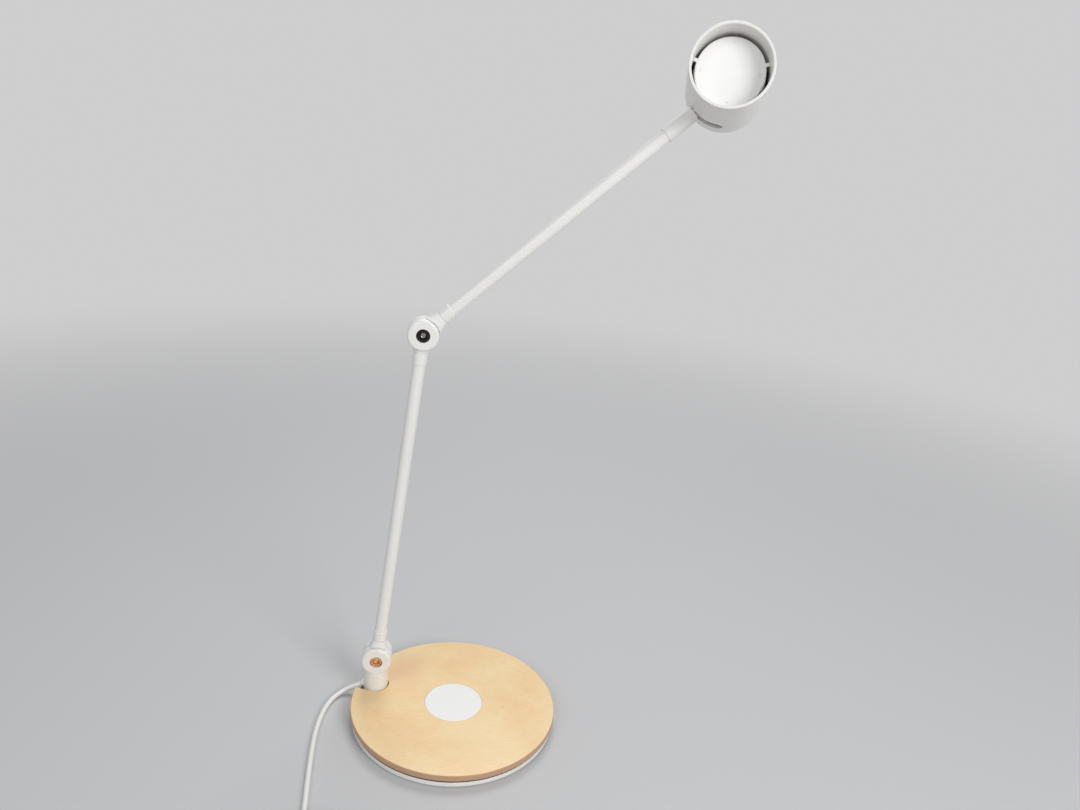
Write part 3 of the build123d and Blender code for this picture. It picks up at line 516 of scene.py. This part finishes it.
finishOf = {  # every CAD node that stays, by its finish
    whiteCoat: (
        "post", "swivel_ring", "yoke", "lower_arm_foot", "lower_collars", "lower_tube",
        "lower_arm_head", "upper_arm_foot", "upper_collar", "upper_tube", "head_sleeve",
        "shade_can",
    ),
    whitePlateGapShaded: ("base_plate",),
    birch: ("wood_top",),
    whitePlastic: ("pad_cover", "cord_grommet", "diffuser_holder"),
    opalDiffuser: ("diffuser",),
    darkPlastic: ("shoulder_washer", "elbow_washer", "glide_ring", "dimmer"),
    footSheet: ("foot_pad",),
    ferriteBlack: ("ferrite_plate",),
    brightSteel: (
        "base_screws", "post_screws", "swivel_nut", "neck_pin", "neck_clip", "dimmer_shaft",
    ),
    bronzeSteel: ("shoulder_sleeve", "shoulder_nut"),
    blackSteel: ("elbow_sleeve", "elbow_nut"),
    # the ballast's darkness is partly painted shade of the gap under the wood
    gapShadeSteel: ("ballast_disc",),
    castSink: ("heat_sink",),
    platedPins: ("adapter_pins",),
    greenBoard: ("charger_board",),
    whiteBoard: ("led_board",),
    phosphor: ("led_chips",),
    strap: ("cord_ties",),
}


def dressNodes(table):
    for material, names in table.items():
        for name in names:
            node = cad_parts[name]
            if not node.material_slots:
                node.data.materials.append(material)
            for holder in node.material_slots:
                holder.material = material


dressNodes(finishOf)
supplyLead.data.materials.append(leadSheath)
print("finishes set")


def newTree(name, sizes):  # a tree with one named input for each size
    tree = bpy.data.node_groups.new(name, "GeometryNodeTree")
    tree.interface.new_socket("Geometry", in_out="INPUT", socket_type="NodeSocketGeometry")
    for label, value in sizes.items():
        kind = "NodeSocketInt" if isinstance(value, int) else "NodeSocketFloat"
        tree.interface.new_socket(label, in_out="INPUT", socket_type=kind)
    tree.interface.new_socket("Geometry", in_out="OUTPUT", socket_type="NodeSocketGeometry")
    entry = tree.nodes.new("NodeGroupInput")
    inlets = {label: Wire(tree, entry.outputs[label]) for label in sizes}
    return tree, inlets


def closeTree(tree, shape, material):  # instances are made real, so that the mesh keeps them
    shape = shape.make("GeometryNodeRealizeInstances", {}, {0: shape})
    shape = shape.make("GeometryNodeSetShadeSmooth", {}, {0: shape, "Shade Smooth": True})
    shape = shape.make("GeometryNodeSetMaterial", {}, {0: shape, "Material": material})
    leave = tree.nodes.new("NodeGroupOutput")
    tree.links.new(shape.socket, leave.inputs[0])


def plainMesh(name, tree, sizes):  # runs a tree and keeps its result as a mesh
    holder = bpy.data.objects.new(name, bpy.data.meshes.new(name + "Start"))
    bpy.context.scene.collection.objects.link(holder)
    modifier = holder.modifiers.new("make", "NODES")
    modifier.node_group = tree
    for item in tree.interface.items_tree:
        if item.in_out == "INPUT" and item.name in sizes:
            modifier[item.identifier] = sizes[item.name]
    bpy.context.view_layer.update()
    mesh = bpy.data.meshes.new_from_object(
        holder.evaluated_get(bpy.context.evaluated_depsgraph_get())
    )
    holder.modifiers.clear()
    holder.data = mesh
    mesh.name = name
    return holder


windingSizes = {
    "turns": 10.0,
    "innerRadius": 0.00965,
    "outerRadius": 0.01935,
    "wireRadius": 0.00052,
    "height": 0.0,  # set from the coil's box below
    "stepsPerTurn": 40,
    "wireSides": 8,
}


def windingTree(sizes):  # flat spiral of enamelled wire under the pad
    tree, size = newTree("windingTree", sizes)
    root = Wire(tree)
    spiral = root.make(
        "GeometryNodeCurveSpiral",
        {},
        {
            "Resolution": size["stepsPerTurn"],
            "Rotations": size["turns"],
            "Start Radius": size["innerRadius"],
            "End Radius": size["outerRadius"],
            "Height": 0.0,
        },
    )
    ring = root.make(
        "GeometryNodeCurvePrimitiveCircle",
        {},
        {"Resolution": size["wireSides"], "Radius": size["wireRadius"]},
    )
    tube = root.make("GeometryNodeCurveToMesh", {}, {0: spiral, 1: ring, "Fill Caps": True})
    lift = root.make("CombineXYZ", {}, {"Z": size["height"]})
    closeTree(
        tree,
        root.make("GeometryNodeTransform", {}, {0: tube, "Translation": lift}),
        enamelCopper,
    )
    return tree


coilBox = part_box("charging_coil")
windingSizes["height"] = (coilBox[0][2] + coilBox[1][2]) / 2
padWinding = plainMesh("padWinding", windingTree(windingSizes), windingSizes)
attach(padWinding, "base")
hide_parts("charging_coil")
print("winding made")


def circlePlaces(radius, sides):
    turns = [2 * math.pi * step / sides for step in range(sides)]
    return [(radius * math.cos(turn), radius * math.sin(turn)) for turn in turns]


def loftRings(sheet, places):  # one skin over rings of places, closed at both ends
    rings = [[sheet.verts.new(place) for place in ring] for ring in places]
    for low, high in zip(rings, rings[1:]):
        for step in range(len(low)):
            after = (step + 1) % len(low)
            sheet.faces.new((low[step], low[after], high[after], high[step]))
    sheet.faces.new(list(reversed(rings[0])))
    sheet.faces.new(rings[-1])


def closedPiece(name, sheet, finish, sharpAngle):
    bmesh.ops.recalc_face_normals(sheet, faces=sheet.faces)
    mesh = bpy.data.meshes.new(name)
    sheet.to_mesh(mesh)
    sheet.free()
    mesh.materials.append(finish)
    mesh.shade_smooth()
    mesh.set_sharp_from_angle(angle=math.radians(sharpAngle))
    piece = bpy.data.objects.new(name, mesh)
    bpy.context.scene.collection.objects.link(piece)
    return piece


# Caps deep in the two hollow pivots
capPlan = {
    "profile": [  # radius, and depth behind the face, from the back to the driver's recess
        (0.0028600, 0.00120),
        (0.0028600, 0.00025),
        (0.0026598, 0.00006),
        (0.0021164, -0.00030),
        (0.0017920, -0.00050),
        (0.0016000, -0.00040),
        (0.0014720, 0.00040),
    ],
    "sides": 36,
    "sharpAngle": 40,
    "bodyOf": {"shoulder": "turret", "elbow": "lower_arm"},
    "faces": {
        "shoulder": (-0.0663601, 0.01520, 0.0400),
        "elbow": (-0.0401831, 0.01680, 0.323795),
    },
}


def makeCap(name, plan, finish):  # turned about Y, its face towards -Y
    x, y, z = plan["faces"][name]
    sheet = bmesh.new()
    loftRings(
        sheet,
        [
            [(x + across, y + depth, z + up) for across, up in circlePlaces(radius, plan["sides"])]
            for radius, depth in plan["profile"]
        ],
    )
    cap = closedPiece(name + "Cap", sheet, finish, plan["sharpAngle"])
    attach(cap, plan["bodyOf"][name])


makeCap("shoulder", capPlan, bronzeSteel)
makeCap("elbow", capPlan, agedSteel)
print("pivot caps made")

# Plug-in supply: back is the face that the lead enters, and the relief stands on it
supplyPlan = {
    "back": -0.0415,
    "length": 0.0440,
    "middleY": -0.1896,
    "width": 0.0310,
    "height": 0.0380,
    "corner": 0.0040,
    "leastCorner": 0.0008,
    "cornerSteps": 6,
    "rim": 0.0020,
    "rimSteps": 5,
    "seam": 0.0300,  # from the back, where the two shells meet
    "seamWidth": 0.0006,
    "seamDepth": 0.0005,
    "relief": [(-0.0715, 0.002236), (-0.0711, 0.0026), (-0.0405, 0.0042)],  # X and radius
    "reliefHeight": 0.0167,
    "reliefSides": 24,
    "sharpAngle": 32,
}


def roundedLoop(width, height, corner, steps):
    loop = []
    for side, (signY, signZ) in enumerate(((1, 1), (-1, 1), (-1, -1), (1, -1))):
        for step in range(steps + 1):
            angle = math.pi / 2 * (side + step / steps)
            y = signY * (width / 2 - corner) + corner * math.cos(angle)
            z = signZ * (height / 2 - corner) + corner * math.sin(angle)
            loop.append((y, z))
    return loop


def supplyStations(plan):  # X of each section of the shell, and how far it draws in
    back, front = plan["back"], plan["back"] + plan["length"]
    seam = back + plan["seam"]
    angles = [math.pi / 2 * step / plan["rimSteps"] for step in range(plan["rimSteps"] + 1)]
    rim = plan["rim"]
    rounding = [(rim * (1 - math.sin(angle)), rim * (1 - math.cos(angle))) for angle in angles]
    stations = [(back + along, inset) for along, inset in reversed(rounding)]
    for offset, share in ((-1.0, 0), (-0.5, 1), (0.5, 1), (1.0, 0)):
        stations.append((seam + offset * plan["seamWidth"], share * plan["seamDepth"]))
    return stations + [(front - along, inset) for along, inset in rounding]


def makeSupply(plan):
    sheet = bmesh.new()
    middleY, middleZ = plan["middleY"], plan["height"] / 2
    sections = []
    for x, inset in supplyStations(plan):
        loop = roundedLoop(
            plan["width"] - 2 * inset,
            plan["height"] - 2 * inset,
            max(plan["corner"] - inset, plan["leastCorner"]),
            plan["cornerSteps"],
        )
        sections.append([(x, y + middleY, z + middleZ) for y, z in loop])
    loftRings(sheet, sections)
    relief = []
    for x, radius in plan["relief"]:
        circle = circlePlaces(radius, plan["reliefSides"])
        relief.append([(x, y + middleY, z + plan["reliefHeight"]) for y, z in circle])
    loftRings(sheet, relief)
    return closedPiece("supplyShell", sheet, whitePlastic, plan["sharpAngle"])


supplyShell = makeSupply(supplyPlan)
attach(supplyShell, "base")
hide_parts("adapter_body")

ribSizes = {  # rings along the tapered relief
    "count": 9,
    "first": -0.0690,
    "step": 0.0028,
    "firstRadius": 0.00275,
    "lastRadius": 0.00405,
    "rib": 0.09,  # of the radius
    "ringSides": 28,
    "ribSides": 8,
}


def rowOfPoints(root, size, y, z):
    start = root.make("CombineXYZ", {}, {"X": size["first"], "Y": y, "Z": z})
    step = root.make("CombineXYZ", {}, {"X": size["step"]})
    return root.make(
        "GeometryNodeMeshLine",
        {},
        {"Count": size["count"], "Start Location": start, "Offset": step},
    )


def ribTree(sizes, plan):
    tree, size = newTree("ribTree", sizes)
    root = Wire(tree)
    line = rowOfPoints(root, size, plan["middleY"], plan["reliefHeight"])
    ring = root.make(
        "GeometryNodeCurvePrimitiveCircle", {}, {"Resolution": size["ringSides"], "Radius": 1.0}
    )
    bead = root.make(
        "GeometryNodeCurvePrimitiveCircle",
        {},
        {"Resolution": size["ribSides"], "Radius": size["rib"]},
    )
    hoop = root.make("GeometryNodeCurveToMesh", {}, {0: ring, 1: bead})
    hoop = root.make("GeometryNodeTransform", {}, {0: hoop, "Rotation": (0.0, math.pi / 2, 0.0)})
    index = root.make("GeometryNodeInputIndex", {}, {})
    grow = root.make(
        "MapRange",
        {},
        {
            "Value": index,
            "From Min": 0.0,
            "From Max": size["count"] - 1,
            "To Min": size["firstRadius"],
            "To Max": size["lastRadius"],
        },
    )
    placed = root.make(
        "GeometryNodeInstanceOnPoints", {}, {"Points": line, "Instance": hoop, "Scale": grow}
    )
    closeTree(tree, placed, whitePlastic)
    return tree


reliefRibs = plainMesh("reliefRibs", ribTree(ribSizes, supplyPlan), ribSizes)
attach(reliefRibs, "base")

gripSizes = {  # low ridges across the supply's top, for the fingers
    "count": 7,
    "first": -0.0330,
    "step": 0.0030,
    "thick": 0.0006,
    "reach": 0.0090,
    "segments": 12,
    "rings": 8,
}


def gripTree(sizes, plan):
    tree, size = newTree("gripTree", sizes)
    root = Wire(tree)
    line = rowOfPoints(root, size, plan["middleY"], plan["height"])
    bead = root.make(
        "GeometryNodeMeshUVSphere",
        {},
        {"Segments": size["segments"], "Rings": size["rings"], "Radius": 1.0},
    )
    scale = root.make(
        "CombineXYZ", {}, {"X": size["thick"], "Y": size["reach"], "Z": size["thick"]}
    )
    placed = root.make(
        "GeometryNodeInstanceOnPoints", {}, {"Points": line, "Instance": bead, "Scale": scale}
    )
    closeTree(tree, placed, whitePlastic)
    return tree


gripRidges = plainMesh("gripRidges", gripTree(gripSizes, supplyPlan), gripSizes)
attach(gripRidges, "base")
print("supply made")

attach(supplyLead, "base")
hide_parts("cord_lead", "cord_coil")

studio = {
    "floorColour": rgb(0.57, 0.57, 0.575),
    "floorSize": 12.0,
    "fadeFrom": 0.45,  # the floor's paper turns into the backdrop between these distances
    "fadeTo": 1.60,
    "worldShade": rgb(0.92, 0.94, 0.96),
    "worldLight": 0.36,
    "backdrop": rgb(0.62, 0.62, 0.625),
    "lamps": [  # place, aim, width, watts
        ((0.80, -1.20, 0.95), (0.08, 0.0, 0.30), 0.8, 12.9),
        ((-0.80, -1.15, 1.20), (0.02, 0.0, 0.30), 0.9, 5.2),
        ((0.15, 0.75, 1.35), (0.0, 0.0, 0.1), 0.9, 8.0),
    ],
}


def seenDirectly(root):  # 1 for what the camera, a gloss or a clear wall shows
    seen = root.make("LightPath", {}, {}, "Is Camera Ray")
    shine = root.make("LightPath", {}, {}, "Is Glossy Ray")
    passed = root.make("LightPath", {}, {}, "Is Transmission Ray")
    shown = root.make("Math", {"operation": "MAXIMUM"}, {0: seen, 1: shine})
    return root.make("Math", {"operation": "MAXIMUM"}, {0: shown, 1: passed})


def makeStudio(plan):
    half = plan["floorSize"] / 2
    mesh = bpy.data.meshes.new("floor")
    mesh.from_pydata(
        [(-half, -half, 0), (half, -half, 0), (half, half, 0), (-half, half, 0)], [], [(0, 1, 2, 3)]
    )
    floor = bpy.data.objects.new("floor", mesh)
    bpy.context.scene.collection.objects.link(floor)
    finish = Finish("floorPaper", Roughness=0.7)
    finish.shader.inputs["Base Color"].default_value = plan["floorColour"]
    grit = finish.noise(finish.place(), 700.0, 2.0)
    finish.bump(grit, 0.00005, 0.2)
    spot = finish.root.make("TexCoord", {}, {}, "Object")
    away = spot.make("VectorMath", {"operation": "LENGTH"}, {0: spot}, "Value")
    far = clampStep(away, plan["fadeFrom"], plan["fadeTo"]) * seenDirectly(finish.root)
    glow = finish.root.make("Emission", {}, {"Color": plan["backdrop"], "Strength": 1.0})
    paper = Wire(finish.tree, finish.shader.outputs[0])
    faded = finish.root.make("MixShader", {}, {0: far, 1: paper, 2: glow})
    finish.tree.links.new(faded.socket, finish.tree.nodes["Material Output"].inputs["Surface"])
    finish.material.cycles.emission_sampling = "NONE"  # the glow is seen, and lights nothing
    mesh.materials.append(finish.material)
    world = bpy.data.worlds.new("studio")
    bpy.context.scene.world = world
    world.use_nodes = True
    tree = world.node_tree
    tree.nodes.clear()
    root = Wire(tree)
    shown = seenDirectly(root)
    light = root.make(
        "Background", {}, {"Color": plan["worldShade"], "Strength": plan["worldLight"]}
    )
    back = root.make("Background", {}, {"Color": plan["backdrop"], "Strength": 1.0})
    both = root.make("MixShader", {}, {0: shown, 1: light, 2: back})
    leave = tree.nodes.new("ShaderNodeOutputWorld")
    tree.links.new(both.socket, leave.inputs["Surface"])
    for number, (place, aim, width, watts) in enumerate(plan["lamps"]):
        data = bpy.data.lights.new(f"softbox{number}", "AREA")
        data.shape = "DISK"
        data.size = width
        data.energy = watts
        lamp = bpy.data.objects.new(f"softbox{number}", data)
        bpy.context.scene.collection.objects.link(lamp)
        lamp.location = place
        lamp.rotation_euler = (Vector(aim) - Vector(place)).to_track_quat("-Z", "Y").to_euler()


makeStudio(studio)
print("studio lit")
